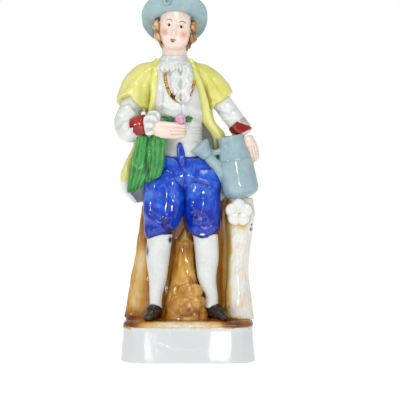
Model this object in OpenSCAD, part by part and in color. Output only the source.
// Slip-cast figurine of a gardener in eighteenth-century dress: hollow plinth and body castings
// with press-moulded pieces stuck on with slip. Millimetres, +Z up, the figure faces -Y,
// origin at the middle of the plinth's underside.

/* [Plinth] */
// Width of the plinth, side to side
plinth_w = 73; // [58:1:92]
// Depth of the plinth, front to back
plinth_d = 44; // [36:1:56]
// Height of the plinth casting
plinth_h = 20; // [14:0.5:28]
// Radius of the plinth's upright corners
plinth_corner = 13; // [8:0.5:16]
// Wall of the hollow castings
cast_wall = 3; // [2:0.1:3.6]
// Diameter of the vent hole in the underside
vent_d = 8; // [5:0.5:10]
// Thickness of the earth layer on the plinth
ground_t = 2.4; // [1.5:0.1:4]

/* [Figure heights] */
// Height of a shoe from sole to collar
shoe_h = 8.5; // [7:0.5:11]
// Length of the stocking from shoe to breeches
stocking_len = 35; // [28:1:43]
// Length of the breeches' legs
thigh_len = 33; // [27:1:40]
// Height of the breeches' seat
seat_h = 14; // [11:0.5:17]
// Length of the waistcoat from waist to neck
torso_len = 49; // [40:1:60]
// Length of the neck that shows
neck_len = 7; // [5.5:0.5:9]
// Height of the head from chin to crown
head_h = 25; // [21:0.5:30]

/* [Figure widths] */
// How far the figure stands from the plinth's middle
figure_x = -4; // [-7:0.5:0]
// Half of the distance between the ankles
stance = 15.2; // [12.5:0.1:18.5]
// Width of a stocking at the ankle
ankle_w = 7; // [6:0.5:8.5]
// Width of a stocking at the calf
calf_w = 13; // [11:0.5:15.5]
// Width of a breeches leg at its widest
thigh_w = 21.5; // [18:0.5:26]
// Width of the waistcoat at the waist
waist_w = 23; // [20:0.5:28]
// Width of the waistcoat at the chest
chest_w = 29; // [25:0.5:35]
// Depth of the chest, front to back
chest_d = 20; // [17:0.5:24]
// Radius of a shirt sleeve
sleeve_r = 5.6; // [4.7:0.1:6.7]
// Distance from the neck's middle to the right elbow
elbow_reach = 26; // [22:0.5:31]
// Width of the neck
neck_w = 14; // [12:0.5:16.5]
// Width of the head across the cheeks
head_w = 17.5; // [15:0.5:21]

/* [Coat and hat] */
// Thickness of the coat
coat_t = 2.2; // [1.8:0.1:2.8]
// Length of the coat from neck to hem
coat_len = 75; // [62:1:84]
// Width of the coat at its hem
coat_hem_w = 56; // [47:1:66]
// Width of the hat's brim, side to side
brim_w = 35.5; // [30:0.5:43]
// Thickness of the hat's brim
brim_t = 1.8; // [1.5:0.1:2.3]
// Height of the hat's crown above the brim
crown_h = 13; // [11:0.5:16]

/* [Watering can and stump] */
// Height of the stump above the ground, to its flat top
stump_h = 66; // [55:1:79]
// Radius of the stump
stump_r = 7.6; // [6.5:0.1:9]
// Radius of the can's body
can_r = 10; // [7.8:0.1:12]
// Height of the can, foot to mouth
can_h = 34.5; // [28:0.5:41]
// Lean of the can towards the figure, in degrees
can_lean = 11; // [0:1:15]
// Height that the spout rises from the can's side
spout_rise = 12.5; // [10:0.5:15]

/* [Hidden] */
$fn = 40;

// Paint and glaze colours
white_glaze = [0.86, 0.87, 0.85];
bark_brown = [0.66, 0.42, 0.16];
cobalt = [0.09, 0.19, 0.62];
flesh = [0.87, 0.78, 0.72];
hair_brown = [0.6, 0.4, 0.2];
sky_grey = [0.5, 0.61, 0.64];
lemon = [0.82, 0.79, 0.42];
brick_red = [0.55, 0.1, 0.05];
leaf_green = [0.13, 0.42, 0.16];
gilt = [0.8, 0.58, 0.25];
shoe_black = [0.06, 0.05, 0.05];
rose_pink = [0.8, 0.55, 0.68];

// Facets: sides of a ring, and rings between two given sections
body_sides = 20;
slim_sides = 16;     // legs, root and stump
limb_sides = 14;
small_sides = 12;    // shoes, curls and cavities
thin_sides = 8;      // leaves and straps
wire_sides = 6;
knob_sides = 20;     // round knobs and petals
steps = 2;
cut = 0.05;          // overrun of a cutting shape past the face that it cuts
glue = 0.02;         // slip film left between two stuck pieces
block = 60;          // side of a cutting block, wider than the figure
way_d = cast_wall * 1.6;   // bore of the ways that join the cavities

// Heights, each one standing on the one below
ground_z = plinth_h + ground_t;
ankle_z = ground_z + shoe_h;
knee_z = ankle_z + stocking_len;
hip_z = knee_z + thigh_len;
waist_z = hip_z + seat_h;
neck_z = waist_z + torso_len;
chin_z = neck_z + neck_len;
crown_z = chin_z + head_h;

// Places across the figure, which leans to its right above the waist
right_foot_x = figure_x + 1.7 - stance;
left_foot_x = figure_x + 1.7 + stance;
right_hip_x = figure_x + 1.4 - thigh_w / 2;
left_hip_x = figure_x + 2 + thigh_w * 0.47;
waist_x = figure_x + 1.2;
neck_x = figure_x - 3.6;
head_x = figure_x - 2.9;
leg_y = -5.5;         // the legs stand in front of the trunk
head_y = -2;
vent_y = 6;           // the way that joins the cavities runs behind the legs
vent_hole_y = vent_y + 2;

// Stump and can
stump_x = plinth_w / 2 - stump_r - 1;
stump_y = -1;
stump_top_z = ground_z + stump_h;
can_foot = [stump_x + 1.5, stump_y - 2, stump_top_z];
can_axis = [-sin(can_lean), 0, cos(can_lean)];
can_mouth_r = can_r * 0.73;
can_step_h = can_h * 0.62;

// Right arm: shoulder, elbow, wrist and fingertips
right_shoulder = [neck_x - 13, 1, neck_z - 11];
right_elbow = [neck_x - elbow_reach, -3.5, waist_z + 12];
right_cuff = [right_elbow.x + 7, -8.5, right_elbow.z + 3.2];
right_wrist = [right_elbow.x + 13.5, -11.5, right_elbow.z + 3];
right_palm = [right_wrist.x + 5, -13.2, right_wrist.z - 2.2];
right_tips = [right_palm.x + 14.5, -13.5, right_palm.z - 1];

// Left arm, which reaches down to the can
left_shoulder = [neck_x + 15, 1.5, neck_z - 11];
left_palm = can_foot + can_axis * (can_h * 0.83) + [can_r + 0.2, 0.5, 0];
left_wrist = left_palm + [-3, 0.8, 6.5];
left_elbow = (left_shoulder + left_wrist) / 2 + [0.4, 1, 1.5];
left_tips = left_palm + [2.8, -0.8, -8];

// ---- Curves and lofts ------------------------------------------------------

// Point at t between sections i and i+1 of a list, on a smooth curve through all of them
function curve_at(s, i, t) =
  let (a = s[max(i - 1, 0)], b = s[i], c = s[i + 1], d = s[min(i + 2, len(s) - 1)])
  0.5 * (2 * b + (c - a) * t + (2 * a - 5 * b + 4 * c - d) * t * t
    + (3 * b - a - 3 * c + d) * t * t * t);
function smooth(s, n = steps) =
  concat([for (i = [0:len(s) - 2], j = [0:n - 1]) curve_at(s, i, j / n)], [s[len(s) - 1]]);

function unit(v) = v / norm(v);
function place(s) = [s[0], s[1], s[2]];

// Level ring of a section [x, y, z, half width, half depth]
function level_ring(s, n) =
  [for (i = [0:n - 1]) place(s) + [s[3] * cos(360 * i / n), s[4] * sin(360 * i / n), 0]];

// Ring square to the direction t, s[3] across it and s[4] above it
function cross_ring(s, t, n, up) =
  let (u = unit(cross(up, t)), v = cross(t, u))
  [for (i = [0:n - 1]) place(s) + s[3] * cos(360 * i / n) * u + s[4] * sin(360 * i / n) * v];

// Solid through a list of rings that all turn the same way round, closed at both ends. A split
// ring goes out along one half of its points and back along the other, so strips close it.
module loft(rings, split = false) {
  n = len(rings[0]);
  m = len(rings);
  last = (m - 1) * n;
  points = concat([for (r = rings, p = r) p], [middle(rings[0]), middle(rings[m - 1])]);
  sides = [for (j = [0:m - 2], i = [0:n - 1], half = [0, 1])
    let (a = j * n + i, b = j * n + (i + 1) % n)
    half == 0 ? [a, a + n, b + n] : [a, b + n, b]];
  fans = [for (i = [0:n - 1], end = [0, 1])
    let (a = end * last + i, b = end * last + (i + 1) % n)
    end == 0 ? [m * n, a, b] : [m * n + 1, b, a]];
  strips = [for (i = [0:n / 2 - 2], end = [0, last], half = [0, 1])
    let (a = end + i, b = a + 1, c = end + n - 2 - i, d = c + 1)
    end == 0 ? (half == 0 ? [a, b, c] : [a, c, d]) : (half == 0 ? [b, a, d] : [b, d, c])];
  polyhedron(split ? [for (r = rings, p = r) p] : points, concat(sides, split ? strips : fans));
}
function middle(r) = [for (k = [0:2]) [for (p = r) p[k]] * [for (p = r) 1] / len(r)];

// Upright piece through sections [x, y, z, half width, half depth]
module upright(line, n = body_sides) {
  loft([for (s = smooth(line)) level_ring(s, n)]);
}

// Cavity of an upright casting, one wall inside it all round
module cavity(line, bottom, top) {
  upright([for (s = line)
    [s[0], s[1], max(min(s[2], top), bottom), s[3] - cast_wall, s[4] - cast_wall]], small_sides);
}

// Limb along a bent line of sections [x, y, z, half width, half height]
module limb(line, n = limb_sides, up = [0, 1, 0]) {
  s = smooth(line);
  m = len(s);
  loft([for (j = [0:m - 1])
    cross_ring(s[j], unit(place(s[min(j + 1, m - 1)]) - place(s[max(j - 1, 0)])), n, up)]);
}

function section(p, w, h) = [p.x, p.y, p.z, w, h];

// ---- Lines of the castings: sections [x, y, z, half width, half depth] -------

function stocking_line(foot_x, calf_x, knee_x) = [
  [foot_x, leg_y + 0.6, ankle_z - 2, ankle_w * 0.48, ankle_w * 0.5],
  [foot_x, leg_y, ankle_z + 4, ankle_w * 0.5, ankle_w * 0.52],
  [calf_x, leg_y + 0.6, ankle_z + stocking_len * 0.4, calf_w * 0.38, calf_w * 0.42],
  [calf_x, leg_y + 0.6, ankle_z + stocking_len * 0.75, calf_w * 0.5, calf_w * 0.52],
  [knee_x, leg_y, knee_z - glue, calf_w * 0.52, calf_w * 0.52]];

function breeches_line(knee_x, hip_x, share) = [
  [knee_x, leg_y, knee_z, thigh_w * 0.34 * share, thigh_w * 0.34],
  [(2 * knee_x + hip_x) / 3, leg_y, knee_z + thigh_len * 0.14, thigh_w * 0.41 * share, thigh_w * 0.39],
  [hip_x, leg_y + 1, knee_z + thigh_len * 0.4, thigh_w * 0.47 * share, thigh_w * 0.43],
  [hip_x, leg_y + 2, knee_z + thigh_len * 0.7, thigh_w * 0.5 * share, thigh_w * 0.45],
  [hip_x, leg_y + 3, hip_z - glue, thigh_w * 0.49 * share, thigh_w * 0.45]];

right_knee_x = right_foot_x + 2.4;
left_knee_x = left_foot_x - 3.4;
left_share = 0.9;     // the left leg is turned a little away

seat_line = [
  [figure_x + 1, leg_y + 3.5, hip_z, thigh_w * 0.96, thigh_w * 0.46],
  [figure_x + 1, leg_y + 4, hip_z + seat_h * 0.35, thigh_w * 0.9, thigh_w * 0.45],
  [figure_x + 0.8, leg_y + 4.6, hip_z + seat_h * 0.75, thigh_w * 0.76, thigh_w * 0.43],
  [waist_x, leg_y + 5, waist_z - glue, waist_w * 0.56, thigh_w * 0.4]];

waistcoat_line = [
  [waist_x, -0.5, waist_z, waist_w * 0.52, chest_d * 0.45],
  [waist_x - 0.6, -0.5, waist_z + torso_len * 0.16, waist_w * 0.49, chest_d * 0.43],
  [waist_x - 2, -0.8, waist_z + torso_len * 0.4, chest_w * 0.45, chest_d * 0.48],
  [waist_x - 4.2, -0.8, waist_z + torso_len * 0.68, chest_w * 0.5, chest_d * 0.5],
  [neck_x, 0, waist_z + torso_len * 0.88, chest_w * 0.46, chest_d * 0.42],
  [neck_x, 0, neck_z - glue, neck_w * 0.58, neck_w * 0.52]];

// The waistcoat's front surface, for what lies on it
function along(line, k, z) = lookup(z, [for (s = smooth(line, 4)) [s[2], s[k]]]);
function waistcoat_front(x, z) =
  let (u = (x - along(waistcoat_line, 0, z)) / along(waistcoat_line, 3, z))
  along(waistcoat_line, 1, z) - along(waistcoat_line, 4, z) * sqrt(max(0, 1 - u * u));

stock_h = neck_len * 0.55;
neck_line = [
  [neck_x, head_y + 1.5, neck_z + stock_h, neck_w * 0.47, neck_w * 0.46],
  [head_x, head_y + 1.5, chin_z + 3, neck_w * 0.44, neck_w * 0.44]];
stock_line = [
  [neck_x, head_y + 1.5, neck_z, neck_w * 0.54, neck_w * 0.5],
  [neck_x, head_y + 1.5, neck_z + stock_h - glue, neck_w * 0.5, neck_w * 0.48]];

head_line = [
  [head_x, head_y - 3.5, chin_z, head_w * 0.17, head_w * 0.17],
  [head_x, head_y - 1.8, chin_z + head_h * 0.12, head_w * 0.36, head_w * 0.38],
  [head_x, head_y, chin_z + head_h * 0.35, head_w * 0.49, head_w * 0.54],
  [head_x, head_y, chin_z + head_h * 0.62, head_w * 0.5, head_w * 0.58],
  [head_x, head_y + 0.5, chin_z + head_h * 0.86, head_w * 0.38, head_w * 0.44],
  [head_x, head_y + 0.5, crown_z, head_w * 0.12, head_w * 0.14]];

// ---- Solids -------------------------------------------------------------------

// Outline of a rectangle with round corners
function rounded(w, d, r) = [for (q = [0:3], i = [0:6])
  let (a = 90 * q + 15 * i)
  [(q == 0 || q == 3 ? 1 : -1) * (w / 2 - r) + r * cos(a), (q < 2 ? 1 : -1) * (d / 2 - r) + r * sin(a)]];

module vent_way(bottom, top) {
  translate([figure_x, vent_y, bottom]) cylinder(h = top - bottom, d = way_d);
}

module plinth() {
  color(white_glaze) difference() {
    linear_extrude(plinth_h) polygon(rounded(plinth_w, plinth_d, plinth_corner));
    translate([0, 0, cast_wall]) linear_extrude(plinth_h - 2 * cast_wall)
      polygon(rounded(plinth_w - 2 * cast_wall, plinth_d - 2 * cast_wall, plinth_corner - cast_wall));
    translate([0, vent_hole_y, -cut]) cylinder(h = cast_wall + 2 * cut, d = vent_d);
    vent_way(plinth_h - cast_wall - cut, plinth_h + cut);
  }
}

module ground() {
  inset = 0.8;
  color(bark_brown) difference() {
    translate([0, 0, plinth_h]) linear_extrude(ground_t)
      polygon(rounded(plinth_w - 2 * inset, plinth_d - 2 * inset, plinth_corner - inset));
    vent_way(plinth_h - cut, ground_z + cut);
  }
}

function trunk_section(z, left, right, y, depth) = [(left + right) / 2, y, z, (right - left) / 2, depth / 2];
trunk_right = stump_x - stump_r * 0.55;
trunk_line = [
  trunk_section(ground_z, -plinth_w / 2 + 1, trunk_right + 2, plinth_d / 2 - 12.6, 21.5),
  trunk_section(ground_z + 12, -plinth_w / 2 + 3.2, trunk_right, 8.6, 19),
  trunk_section(ground_z + 32, right_hip_x - thigh_w * 0.75, trunk_right, 8.2, 17),
  trunk_section(knee_z + 10, right_hip_x - thigh_w * 0.62, trunk_right, 7.8, 16),
  trunk_section(hip_z - 12, right_hip_x - thigh_w * 0.5, trunk_right - 1, 7.4, 14),
  trunk_section(hip_z - glue, right_hip_x, left_hip_x, 6.6, 9)];

module legs() {
  right_stocking_form();
  left_stocking_form();
  right_leg_form();
  left_leg_form();
}
module right_stocking_form() {
  upright(stocking_line(right_foot_x, right_foot_x + 1.1, right_knee_x), slim_sides);
}
module left_stocking_form() {
  upright(stocking_line(left_foot_x, left_foot_x - 2.6, left_knee_x), slim_sides);
}
module right_leg_form() { upright(breeches_line(right_knee_x, right_hip_x, 1)); }
module left_leg_form() { upright(breeches_line(left_knee_x, left_hip_x, left_share)); }

trunk_cavity_top = hip_z - cast_wall - 6;    // below the narrow tip of the trunk
module trunk() {
  color(bark_brown) difference() {
    upright(trunk_line);
    cavity(trunk_line, ground_z + cast_wall, trunk_cavity_top);
    vent_way(ground_z - cut, ground_z + cast_wall + cut);
    vent_way(trunk_cavity_top - cut, hip_z + cut);
    legs();
    stump_form();
  }
}

// Root of the trunk that runs up between the legs and ends in a point
root_line = [
  [figure_x + 2, -3, ground_z, 13, 9],
  [figure_x + 2.5, -2, ground_z + 14, 9.5, 7],
  [figure_x + 3, -1.5, ground_z + 28, 7.6, 5.6],
  [figure_x + 3.4, -1, knee_z - 3, 5.4, 4.4],
  [figure_x + 3.4, 0, knee_z + 3, 2, 2.6]];
module trunk_root() {
  color(bark_brown) difference() {
    upright(root_line, slim_sides);
    upright(trunk_line);
    legs();
    right_shoe();
    left_shoe();
  }
}

// Knobs of rockwork heaped against the root: [x, y, z, radius] from the heap's foot
rocks = [[-6, -9, 4, 4.2], [1, -10.5, 3, 4.4], [7.5, -9, 4, 4], [-5, -7.5, 10.5, 3.8],
  [2, -8.8, 10, 4], [8, -6.5, 11, 3.6], [-1, -7.5, 16.5, 3.7], [5, -6.5, 17, 3.5], [1, -6.5, 20.4, 3.2]];
module rockwork() {
  color(bark_brown) difference() {
    for (k = rocks)
      translate([figure_x + 2 + k[0], k[1], ground_z + k[2]]) sphere(r = k[3], $fn = knob_sides);
    translate([-block / 2, -block / 2, ground_z - block]) cube(block);
    upright([for (i = [0:2]) root_line[i]], slim_sides);
  }
}

stump_line = [
  [stump_x, stump_y + 1, ground_z, stump_r * 1.12, stump_r * 1.3],
  [stump_x - 0.4, stump_y, ground_z + 12, stump_r * 0.93, stump_r * 1.05],
  [stump_x - 0.6, stump_y, ground_z + stump_h * 0.42, stump_r * 0.76, stump_r * 0.85],
  [stump_x, stump_y, ground_z + stump_h * 0.68, stump_r * 0.9, stump_r * 0.95],
  [stump_x + 0.6, stump_y, stump_top_z - 8, stump_r * 1.06, stump_r * 1.05],
  [stump_x + 0.6, stump_y, stump_top_z, stump_r * 0.9, stump_r * 0.9]];
module stump_form() { upright(stump_line, slim_sides); }
module stump() {
  color(white_glaze) difference() {
    stump_form();
    can_form();
  }
}

// Five petals round a heart, and two more behind, on the front of the stump's head
petal_ring = 4.6;
petal_r = 3.3;
module stump_blossom() {
  color(white_glaze) difference() {
    for (i = [0:4])
      translate([stump_x - 0.4 + petal_ring * sin(72 * i), stump_y - stump_r * 0.86,
        stump_top_z - 7.9 + petal_ring * cos(72 * i)]) sphere(r = petal_r, $fn = knob_sides);
    stump_form();
    translate(can_foot) rotate([0, -can_lean, 0]) cylinder(h = can_h, r = can_r * 1.2);
  }
}

// Shoe along the foot from heel to toe, turned out by an angle
shoe_line = [
  [0, 0, 2.6, 2.2, 2.6],
  [0, -2.2, 3.6, 3.6, 3.6],
  [0, -6, shoe_h / 2, 4.1, shoe_h / 2],
  [0, -10.5, shoe_h * 0.34, 3.9, shoe_h * 0.34],
  [0, -15, 2, 3.1, 1.9],
  [0, -16.6, 1.4, 1.6, 1.2]];
module shoe_form(x, turn) {
  color(shoe_black) translate([x, leg_y + 3.6, ground_z]) rotate([0, 0, turn])
    limb(shoe_line, small_sides, [0, 0, 1]);
}
module right_shoe() { shoe_form(right_foot_x + 0.6, -16); }
module left_shoe() { shoe_form(left_foot_x - 0.4, 26); }

module right_stocking() {
  color(white_glaze) difference() {
    right_stocking_form();
    right_shoe();
  }
}
module left_stocking() {
  color(white_glaze) difference() {
    left_stocking_form();
    left_shoe();
  }
}
module right_breeches_leg() { color(cobalt) right_leg_form(); }
module left_breeches_leg() {
  color(cobalt) difference() {
    left_leg_form();
    right_leg_form();
  }
}

module breeches_seat() {
  color(cobalt) difference() {
    upright(seat_line);
    cavity(seat_line, hip_z + cast_wall, waist_z - cast_wall);
    vent_way(hip_z - cut, waist_z + cut);
  }
}

// Buttoned flap of the breeches, which runs up over the waistcoat's hem
flap_sides = 10;
module fall_flap() {
  x = figure_x + 1;
  color(cobalt) difference() {
    limb([[x + 1.6, leg_y - 5, waist_z - 12, 1, 1.2], [x + 0.4, leg_y - 4.2, waist_z - 6, 2.6, 1.6],
      [x, -8.8, waist_z - 1, 2.2, 1.8], [x - 0.8, -9.2, waist_z + 5, 0.8, 1]], flap_sides);
    upright(seat_line);
    upright(waistcoat_line);
  }
}

module waistcoat() {
  color(white_glaze) difference() {
    upright(waistcoat_line);
    cavity(waistcoat_line, waist_z + cast_wall, neck_z - cast_wall);
    vent_way(waist_z - cut, waist_z + cast_wall + cut);
    translate([neck_x, 0, neck_z - cast_wall - cut]) cylinder(h = cast_wall + 2 * cut, d = way_d);
  }
}

module neck_bore() {
  translate([neck_x, 0, neck_z - cut]) cylinder(h = neck_len + cast_wall + 1, d = way_d);
}
module neck_stock() {
  color(white_glaze) difference() {
    upright(stock_line);
    neck_bore();
  }
}
module neck() {
  color(flesh) difference() {
    upright(neck_line);
    upright(head_line);
    neck_bore();
  }
}

module head() {
  color(flesh) difference() {
    upright(head_line);
    cavity(head_line, chin_z + cast_wall + 1, crown_z - cast_wall);
    translate([neck_x, 0, chin_z - cut]) cylinder(h = 2 * cast_wall, d = way_d);
  }
}

// Hair grows out from the head by hair_t at the back and sides
hair_t = 1.5;
hair_sides = 18;
brim_z = chin_z + head_h * 0.68;
module hair_cap() {
  color(hair_brown) difference() {
    upright([for (i = [1:4]) head_line[i] + [0, 1.2, i == 1 ? 0 : 0.4, hair_t, hair_t]], hair_sides);
    upright(head_line);
    translate([head_x - block / 2, head_y - block, chin_z - block / 2]) cube([block, block, 2 * block]);
    upright(neck_line);
  }
}
module curls(side, top, bottom, width) {
  color(hair_brown) difference() {
    limb([[head_x + side * head_w * 0.5, head_y - 0.5, top, width * 0.5, width * 0.55],
      [head_x + side * head_w * 0.62, head_y - 0.8, (top * 2 + bottom) / 3, width, width * 1.1],
      [head_x + side * head_w * 0.56, head_y - 0.6, (top + bottom * 2) / 3, width * 0.9, width],
      [head_x + side * head_w * 0.4, head_y + 0.4, bottom, width * 0.5, width * 0.6]], small_sides);
    upright(head_line);
    hair_cap();
    upright(neck_line);
  }
}
module right_curls() { curls(-1, brim_z, chin_z + 1, 3.1); }
module left_curls() { curls(1, chin_z + head_h * 0.62, chin_z + 1, 2.7); }

// Hat: its brim is turned up in front and falls away behind, so both of its edges are
// ellipses round the head's line that rise from the nape to the brow
function hat_ring(w, d, rise, lift, back) =
  let (z = brim_z + lift)
  [for (a = [0:15:345])
    [head_x - 0.4 + w * cos(a), head_y + 1.4 + back + d * sin(a), z - rise * sin(a)]];
module hat_form() {
  in_w = head_w * 0.5 + hair_t + 0.3;
  in_d = head_w * 0.58 - 0.2;
  loft([
    hat_ring(in_w, in_d, 5.6, -1.2, 0),
    hat_ring(brim_w * 0.4, in_d + 2.4, 9.5, -1, 0),
    hat_ring(brim_w * 0.5, in_d + 3.2, 13.1, 0, 0),
    hat_ring(brim_w * 0.5, in_d + 3.4, 13.3, brim_t * 0.6, 0.5),
    hat_ring(brim_w * 0.4, in_d + 2.8, 9.6, brim_t, 1.4),
    hat_ring(in_w + 0.8, in_d + 0.4, 6, brim_t + 0.6, 1.6),
    hat_ring(in_w - 0.2, in_d - 0.2, 4.4, crown_h * 0.6, 2),
    hat_ring(in_w * 0.75, in_d * 0.75, 2.8, crown_h * 0.86, 2),
    hat_ring(in_w * 0.3, in_d * 0.3, 0.6, crown_h, 2)]);
}
module hat() {
  color(sky_grey) difference() {
    hat_form();
    upright(head_line);
    hair_cap();
    right_curls();
    left_curls();
  }
}
rosette_r = 2.1;
module hat_rosette() {
  color(sky_grey) difference() {
    translate([head_x - brim_w * 0.12, head_y - 9.9, brim_z + 9]) sphere(r = rosette_r, $fn = 24);
    hat_form();
  }
}

module frill_form() {
  upright([[neck_x + 0.6, -0.6, neck_z - 4.4, neck_w * 0.7, neck_w * 0.68],
    [neck_x + 0.4, -0.6, neck_z - 2.6, neck_w * 0.76, neck_w * 0.74],
    [neck_x, -0.4, neck_z + 1.2, neck_w * 0.57, neck_w * 0.54]]);
}
module collar_frill() {
  color(white_glaze) difference() {
    frill_form();
    upright(waistcoat_line);
    upright(stock_line);
    neck_bore();
  }
}

jabot_len = torso_len * 0.36;
jabot_x = neck_x + 3.4;
// Section of the jabot, k of its length down and dx to the left
function hang(dx, k, w, t) =
  let (x = jabot_x + dx, z = neck_z - 3 - jabot_len * k)
  [x, waistcoat_front(x, z) - 0.6, z, w, t];
jabot_line = [
  hang(0, 0, 4.4, 1.4),
  hang(0.3, 0.3, 5.2, 2),
  hang(0.8, 0.65, 4.6, 2),
  hang(1.4, 0.95, 2, 1.4),
  hang(1.6, 1.02, 0.8, 0.8)];
module jabot() {
  color(white_glaze) difference() {
    limb(jabot_line, small_sides);
    upright(waistcoat_line);
    frill_form();
  }
}

// Gilt chain: a U on the waistcoat, from collar to collar
chain_w = chest_w * 0.58;
chain_drop = torso_len * 0.36;
chain_wire = 0.85;
function chain_point(a) =
  let (x = jabot_x + chain_w / 2 * cos(a), z = neck_z - 3.4 + chain_drop * sin(a))
  [x, waistcoat_front(x, z) - 0.15, z, chain_wire, chain_wire];
module gilt_chain() {
  color(gilt) difference() {
    limb([for (a = [180:15:360]) chain_point(a)], wire_sides, [0, 1, 0.2]);
    upright(waistcoat_line);
    frill_form();
    jabot();
    coat_form();
    right_cap_form();
    left_cap_form();
  }
}
clasp_r = 1.3;
module gilt_pendant() {
  p = chain_point(238);
  q = chain_point(268);
  color(gilt) difference() {
    union() {
      limb([[p.x - 2.6, p.y - 0.4, p.z + 0.6, 0.5, 0.5], [p.x, p.y - 0.9, p.z - 1.1, 1.5, 0.8],
        [p.x + 3.4, p.y - 0.9, p.z - 2.4, 0.4, 0.4]], thin_sides);
      translate([q.x + 1, q.y - 0.6, q.z]) sphere(r = clasp_r, $fn = 16);
    }
    upright(waistcoat_line);
    gilt_chain();
    jabot();
  }
}

// Coat: each section is part of an ellipse from one front edge round the back to the other
// [z, middle x, half width, half depth, depth of cloth, right edge angle, left edge angle]
coat_arc = 14;
function coat_ring(s) =
  let (y = 1.5, step = (s[6] - s[5]) / coat_arc)
  concat(
    [for (i = [0:coat_arc])
      let (a = s[5] + step * i)
      [s[1] + s[2] * cos(a), y + s[3] * sin(a), s[0]]],
    [for (i = [coat_arc:-1:0]) let (a = s[5] + step * i)
      [s[1] + (s[2] - s[4]) * cos(a), y + (s[3] - s[4]) * sin(a), s[0]]]);
hem_z = neck_z - coat_len;
coat_line = [
  [hem_z, figure_x - 2.4, coat_hem_w * 0.47, 12.6, coat_t * 1.6, -8, 186],
  [hem_z + 7, figure_x - 3.6, coat_hem_w * 0.52, 13.4, coat_t * 1.6, -12, 190],
  [hem_z + 18, figure_x - 3.2, coat_hem_w * 0.51, 13, coat_t * 1.6, -14, 192],
  [waist_z + 2, figure_x - 2.4, coat_hem_w * 0.45, 12.2, coat_t * 2.2, -18, 194],
  [waist_z + torso_len * 0.36, neck_x + 3.2, chest_w * 0.64, 12.4, coat_t * 2.4, -30, 207],
  [waist_z + torso_len * 0.6, neck_x + 1.4, chest_w * 0.62, 12.2, coat_t * 2.4, -35, 230],
  [neck_z - 12, neck_x, chest_w * 0.65, 11.4, coat_t * 2.6, -44, 240],
  [neck_z - 5, neck_x, chest_w * 0.56, 9.4, coat_t * 2.6, -48, 234],
  [neck_z + 1.6, neck_x, neck_w * 0.74, 8.2, coat_t, -34, 206]];
module coat_form() { loft([for (s = smooth(coat_line)) coat_ring(s)], split = true); }

module cap_form(side, shoulder, tip, r) {
  inner = [neck_x + side * neck_w * 0.52, 0, neck_z - 4.5];
  limb([
    section(inner, 3.4, 4.5),
    section((inner + shoulder) / 2 + [0, 0, 1.6], r * 0.72, r * 0.8),
    section(shoulder, r, r * 1.02),
    section(tip, r * 1.04, r * 1.1)]);
}
right_cap_tip = right_shoulder * 0.42 + right_elbow * 0.58 + [-1.6, 0, 0];
left_cap_tip = left_shoulder * 0.3 + left_elbow * 0.7 + [1.6, 0, 1.5];
module right_cap_form() { cap_form(-1, right_shoulder + [-6, 0, -0.5], right_cap_tip, sleeve_r * 1.5); }
module left_cap_form() { cap_form(1, left_shoulder + [3.4, 0, 0.6], left_cap_tip, sleeve_r * 1.2); }

module right_sleeve_form() {
  limb([
    section(right_shoulder, sleeve_r, sleeve_r),
    section((right_shoulder + right_elbow) / 2 + [-1.6, 0, 1], sleeve_r * 1.05, sleeve_r),
    section(right_elbow + [-0.2, 0, 1], sleeve_r * 1.06, sleeve_r)]);
  translate(right_elbow + [0, 0, 0.6]) sphere(r = sleeve_r * 1.08);
  limb([
    section(right_elbow + [0, 0, 0.4], sleeve_r * 1.06, sleeve_r),
    section(right_cuff, sleeve_r * 0.92, sleeve_r * 0.9)]);
}
module left_sleeve_form() {
  limb([
    section(left_shoulder, sleeve_r * 0.9, sleeve_r),
    section(left_elbow, sleeve_r * 0.9, sleeve_r * 0.95),
    section(left_wrist, sleeve_r * 0.82, sleeve_r * 0.85)]);
}

module coat() {
  color(lemon) difference() {
    coat_form();
    upright(waistcoat_line);
    upright(seat_line);
    legs();
    frill_form();
    upright(trunk_line);
    right_sleeve_form();
    left_sleeve_form();
    right_cap_form();
    left_cap_form();
    can_form();
  }
}
module right_coat_sleeve() {
  color(lemon) difference() {
    right_cap_form();
    upright(waistcoat_line);
    right_sleeve_form();
    frill_form();
  }
}
module left_coat_sleeve() {
  color(lemon) difference() {
    left_cap_form();
    upright(waistcoat_line);
    left_sleeve_form();
    frill_form();
  }
}
module right_sleeve() {
  color(white_glaze) difference() {
    right_sleeve_form();
    upright(waistcoat_line);
  }
}
module left_sleeve() {
  color(white_glaze) difference() {
    left_sleeve_form();
    upright(waistcoat_line);
    left_hand_form();
    can_form();
  }
}

// Red bands painted round the turned-back cuffs
module right_band_form() {
  limb([
    section(right_elbow + [4.8, -3.6, 1.6], sleeve_r * 1.04, sleeve_r * 0.98),
    section(right_cuff + [3.4, -1.4, 0.4], sleeve_r * 1.02, sleeve_r)]);
}
module right_cuff_band() {
  color(brick_red) difference() {
    right_band_form();
    right_sleeve_form();
    upright(waistcoat_line);
  }
}
module left_band_form() {
  limb([
    section(left_wrist + (left_elbow - left_wrist) * 0.4, sleeve_r * 0.94, sleeve_r * 1.02),
    section(left_wrist + [0.2, 0, -0.6], sleeve_r * 0.96, sleeve_r * 1.04)]);
}
module left_cuff_band() {
  color(brick_red) difference() {
    left_band_form();
    left_sleeve_form();
    left_hand_form();
    can_form();
  }
}

module right_ruffle_form() {
  limb([
    section(right_cuff + [3.5, -1.4, 0], sleeve_r * 0.9, sleeve_r * 0.8),
    section(right_wrist + [-0.4, 0, 0.6], sleeve_r * 1.3, sleeve_r * 0.92),
    section(right_wrist + [2.6, -0.8, 0], sleeve_r * 1.16, sleeve_r * 0.8)]);
}
module right_ruffle() {
  color(white_glaze) difference() {
    right_ruffle_form();
    right_band_form();
    right_sleeve_form();
    upright(waistcoat_line);
  }
}

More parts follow.
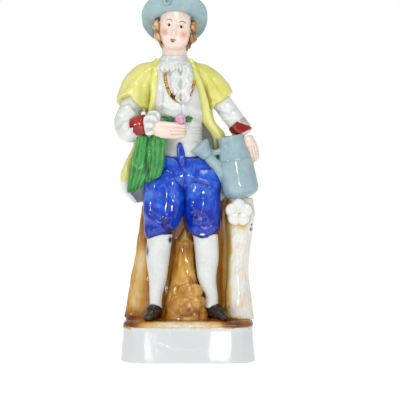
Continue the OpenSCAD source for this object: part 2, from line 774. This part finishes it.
module right_hand_form() {
  limb([
    section(right_wrist, 3.2, 2.4),
    section(right_palm, 4.3, 2.8),
    section((right_palm + right_tips) / 2, 4.4, 2.8),
    section(right_tips + [-2, 0, 0], 3.6, 2.4),
    section(right_tips, 1.8, 1.4)]);
}
module right_hand() {
  color(flesh) difference() {
    right_hand_form();
    right_ruffle_form();
    upright(waistcoat_line);
  }
}
module left_hand_form() {
  limb([
    section(left_wrist + [0.4, 0, -1], 3, 3),
    section(left_palm, 3.4, 3.6),
    section((left_palm + left_tips) / 2, 3.1, 3.4),
    section(left_tips, 1.6, 1.8)]);
}
module left_hand() {
  color(flesh) difference() {
    left_hand_form();
    can_form();
  }
}

// Rose and its two leaves, held over the right hand
rose_r = 2.9;
bud_r = rose_r * 0.55;
rose_at = [right_tips.x - 3.6, right_tips.y + 1.2, right_tips.z + 6.6];
module rose() {
  color(rose_pink) difference() {
    union() {
      translate(rose_at) sphere(r = rose_r);
      translate(rose_at + [0.6, -0.6, -rose_r]) sphere(r = bud_r, $fn = 24);
    }
    upright(waistcoat_line);
    right_hand_form();
  }
}
module rose_leaves() {
  color(leaf_green) difference() {
    union() {
      limb([
        section(rose_at + [-rose_r + 0.8, 0.4, -0.6], 1.2, 0.9),
        section(rose_at + [-6, 0.2, 0.6], 1.5, 1),
        section(rose_at + [-9.6, 0.8, 1.8], 0.5, 0.5)], thin_sides);
      limb([
        section(rose_at + [rose_r - 0.8, 0.4, 0], 1, 0.9),
        section(rose_at + [4.4, 0.6, 0], 2, 1),
        section(rose_at + [6, 1, 0.6], 0.6, 0.5)], thin_sides);
    }
    translate(rose_at) sphere(r = rose_r);
    upright(waistcoat_line);
    right_hand_form();
  }
}

// Green kerchief: two falls of cloth that hang from under the wrist
fall_top = [right_wrist.x + 1.5, right_wrist.y - 0.5, right_wrist.z - sleeve_r * 0.9];
module short_fall_form() {
  limb([
    section(fall_top + [1.2, 0.4, 0], 3.6, 2.4),
    section(fall_top + [0.9, -0.6, -7], 5, 2.8),
    section(fall_top + [0.4, -0.8, -15], 4.8, 2.9),
    section(fall_top + [-1.6, -0.4, -20.5], 2, 1.8)]);
}
module kerchief_short_fall() {
  color(leaf_green) difference() {
    short_fall_form();
    right_ruffle_form();
    right_sleeve_form();
    right_band_form();
    right_hand_form();
    right_leg_form();
    upright(seat_line);
    upright(waistcoat_line);
    coat_form();
  }
}
module kerchief_long_fall() {
  color(leaf_green) difference() {
    limb([
      section(fall_top + [-5, 0.8, -1], 3.4, 2.4),
      section(fall_top + [-6.6, 0.2, -10], 4.8, 2.8),
      section(fall_top + [-9, 0, -20], 5, 2.9),
      section(fall_top + [-11.6, 0, -28], 2, 1.6)]);
    short_fall_form();
    right_ruffle_form();
    right_sleeve_form();
    right_band_form();
    right_leg_form();
    upright(seat_line);
    coat_form();
  }
}

// Watering can, leaning towards the figure
module can_pose() { translate(can_foot) rotate([0, -can_lean, 0]) children(); }
foot_r = can_r * 0.6;
// Outline of the can, from the middle of its foot to the middle of its mouth
can_outline = [
  [0, 0],
  [foot_r, 0],
  [can_r * 0.86, 2],
  [can_r, 4.4],
  [can_r * 0.97, can_step_h - 1],
  [can_r * 0.92, can_step_h],
  [can_r * 0.9, can_step_h + 1],
  [can_mouth_r, can_h - 3],
  [can_mouth_r, can_h],
  [0, can_h]];
module can_form() {
  can_pose() rotate_extrude($fn = 48) polygon(can_outline);
}
mouth_depth = 4;      // shallow hollow of the can's mouth
mouth_lip = 1.2;
module can_body() {
  color(sky_grey) difference() {
    can_form();
    can_pose() translate([0, 0, can_h - mouth_depth])
      cylinder(h = mouth_depth + cut, r = can_mouth_r - mouth_lip);
  }
}
spout_root = can_foot + can_axis * can_step_h * 0.62 + [-can_r * 0.8, -can_r * 0.35, 0];
spout_tip = [waist_x + waist_w * 0.5, spout_root.y - 2, spout_root.z + spout_rise];
module spout_form() {
  limb([
    section(spout_root + [1.2, 0.4, -2], 3.6, 3.2),
    section(spout_root * 0.65 + spout_tip * 0.35, 2.9, 2.6),
    section(spout_tip, 2.4, 2.2)]);
}
module spout_rest() {
  upright(waistcoat_line);
  upright(seat_line);
  legs();
}
module can_spout() {
  color(sky_grey) difference() {
    spout_form();
    can_form();
    spout_rest();
  }
}
module can_rose() {
  t = unit(spout_tip - spout_root);
  color(sky_grey) difference() {
    limb([
      section(spout_tip - t * 1.2, 2.6, 2.4),
      section(spout_tip + t * 2, 4.6, 3.6),
      section(spout_tip + t * 4, 5.2, 4),
      section(spout_tip + t * 4.6, 3.8, 2.8)]);
    spout_form();
    spout_rest();
  }
}
// Strap from the mouth to the body, behind the palm and out of sight from the front
handle_turn = 55;
strap_w = 1;
strap_t = 1.6;
strap_line = [
  [can_mouth_r - 1, 0, can_h - 2.4, strap_w, strap_t],
  [can_mouth_r + 3.4, 0, can_h - 2.6, strap_w, strap_t],
  [can_r + 3.2, 0, can_h * 0.72, strap_w, strap_t],
  [can_r + 1.6, 0, can_h * 0.54, strap_w, strap_t],
  [can_r - 1.6, 0, can_h * 0.46, strap_w, strap_t]];
module can_handle() {
  color(sky_grey) difference() {
    can_pose() rotate([0, 0, handle_turn]) limb(strap_line, thin_sides);
    can_form();
    left_hand_form();
  }
}

plinth();
ground();
trunk();
trunk_root();
rockwork();
stump();
stump_blossom();
right_shoe();
left_shoe();
right_stocking();
left_stocking();
right_breeches_leg();
left_breeches_leg();
breeches_seat();
fall_flap();
waistcoat();
neck();
neck_stock();
head();
hair_cap();
right_curls();
left_curls();
hat();
hat_rosette();
collar_frill();
jabot();
gilt_chain();
gilt_pendant();
coat();
right_coat_sleeve();
left_coat_sleeve();
right_sleeve();
left_sleeve();
right_cuff_band();
left_cuff_band();
right_ruffle();
right_hand();
left_hand();
rose();
rose_leaves();
kerchief_short_fall();
kerchief_long_fall();
can_body();
can_spout();
can_rose();
can_handle();
